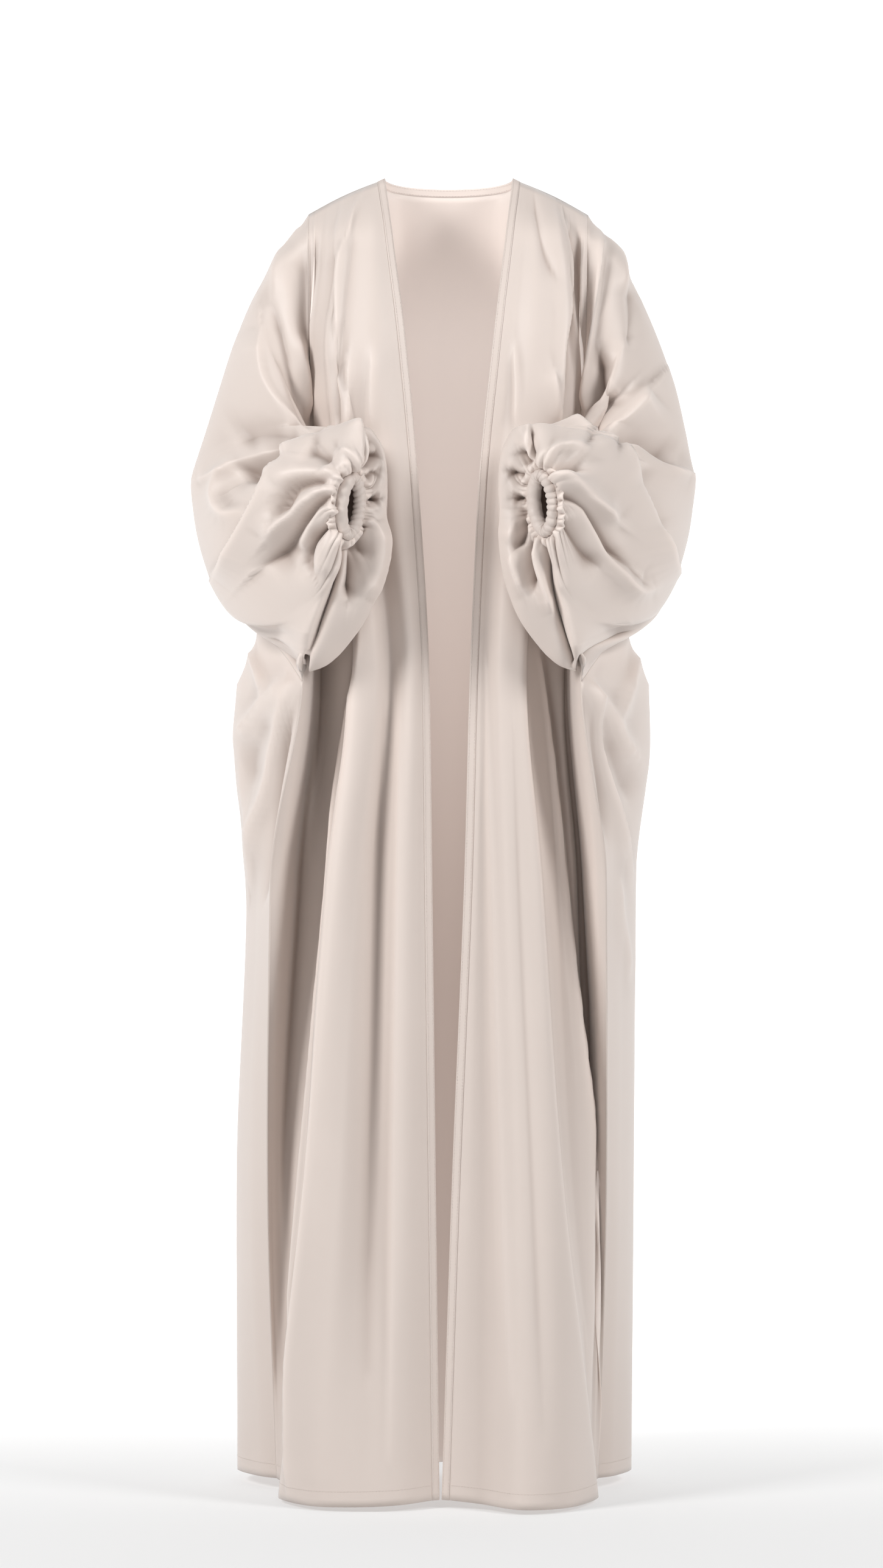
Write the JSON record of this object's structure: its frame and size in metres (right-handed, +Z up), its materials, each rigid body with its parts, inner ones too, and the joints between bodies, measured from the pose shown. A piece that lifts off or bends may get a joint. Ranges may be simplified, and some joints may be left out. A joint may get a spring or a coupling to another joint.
{
  "type": "abaya_cloak",
  "caption": "Full-length open-front abaya cloak in pale sand crepe, with wide draped sleeves gathered into elastic cuffs, in its worn hollow form.",
  "frame": {"origin": "midway between the two points where the neckline meets the shoulder seams, where the wearer's shoulders carry the cloak", "axes": "+Z up along the cloak's length; the open front faces -Y; +X is to the right as the front is looked at"},
  "size_m": [0.5738, 0.4797, 1.4976],
  "materials": {
    "cloth": "satin",
    "cuff_casing": "satin",
    "stitched_band": "satin"
  },
  "bodies": {
    "root": {"back": "cloth", "front_left": "cloth", "front_right": "cloth", "sleeve_left": "cloth", "sleeve_right": "cloth", "cuff_left": "cuff_casing", "cuff_right": "cuff_casing", "edge_band": "stitched_band"}
  },
  "joints": []
}
